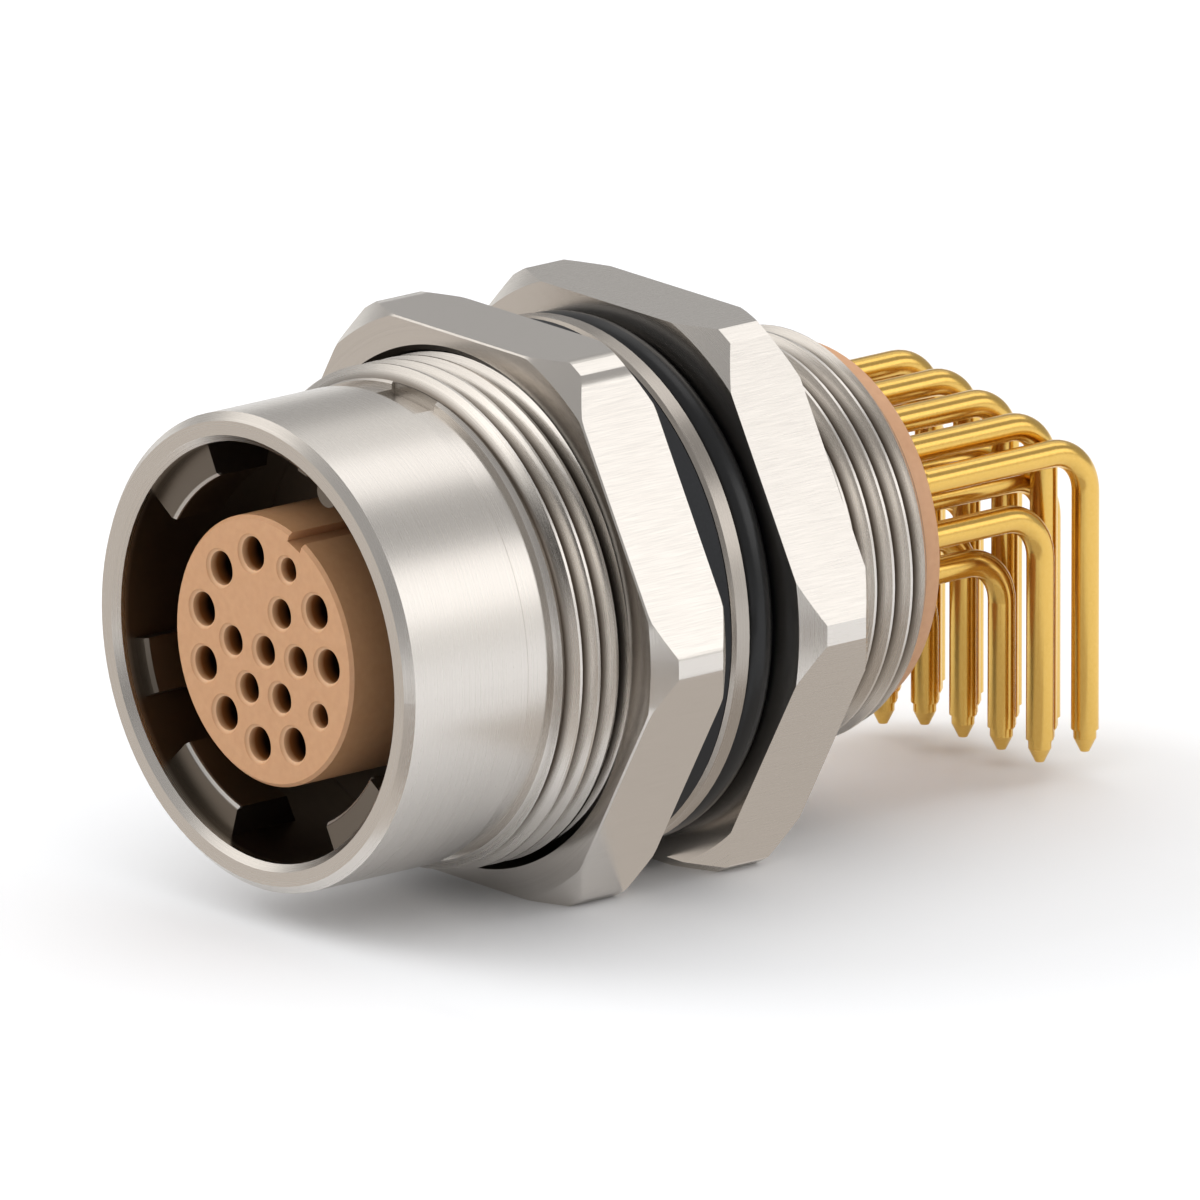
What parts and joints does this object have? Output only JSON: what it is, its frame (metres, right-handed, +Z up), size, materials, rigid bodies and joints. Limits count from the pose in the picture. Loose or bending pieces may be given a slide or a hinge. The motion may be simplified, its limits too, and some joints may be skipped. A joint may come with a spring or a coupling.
{
  "type": "panel receptacle",
  "caption": "Round metal panel receptacle with a threaded shell, hexagon flange and nut, sealing rings, a tan socket insert and right-angle board tails.",
  "frame": {"origin": "on the shell's axis, in the plane of the hexagon flange's front face, where the panel is clamped", "axes": "-Y out of the mating end, +Y towards the board tails, +Z up with the tails pointing down"},
  "size_m": [0.0272, 0.0427, 0.024],
  "materials": {
    "plated_shell": "nickel plated, brushed round the axis",
    "plated_nut": "nickel plated, brushed across the flats",
    "plated_washer": "nickel plated, turned",
    "gasket_rubber": "matte black rubber",
    "seal_rubber": "satin black rubber",
    "inner_seal_rubber": "satin black rubber",
    "front_plastic": "moulded tan plastic",
    "rear_plastic": "moulded tan plastic",
    "spring_steel": "blued spring steel",
    "gold_contacts": "satin gold plating"
  },
  "bodies": {
    "receptacle": {"shell": "plated_shell", "panel_seal": "seal_rubber", "front_insulator": "front_plastic", "insert_seal": "inner_seal_rubber", "retaining_ring": "spring_steel", "rear_insulator": "rear_plastic", "contact_01": "gold_contacts", "contact_02": "gold_contacts", "contact_03": "gold_contacts", "contact_04": "gold_contacts", "contact_05": "gold_contacts", "contact_06": "gold_contacts", "contact_07": "gold_contacts", "contact_08": "gold_contacts", "contact_09": "gold_contacts", "contact_10": "gold_contacts", "contact_11": "gold_contacts", "contact_12": "gold_contacts", "contact_13": "gold_contacts", "contact_14": "gold_contacts", "contact_15": "gold_contacts", "contact_16": "gold_contacts", "contact_17": "gold_contacts"},
    "loose_rings": {"flat_gasket": "gasket_rubber", "clamp_washer": "plated_washer"},
    "nut": {"hex_nut": "plated_nut"}
  },
  "joints": [
    {"name": "ring_travel", "type": "slide", "parent": "receptacle", "child": "loose_rings", "axis": [0, -1, 0], "range_m": [0, 0.00702]},
    {"name": "nut_turn", "type": "hinge", "parent": "loose_rings", "child": "nut", "pos_m": [0, -0.00617, 0], "axis": [0, -1, 0], "range_deg": [0, 2520]}
  ],
  "couplings": [
    {"joint": "ring_travel", "follows": "nut_turn", "m_per_rad": 0.00015915}
  ]
}
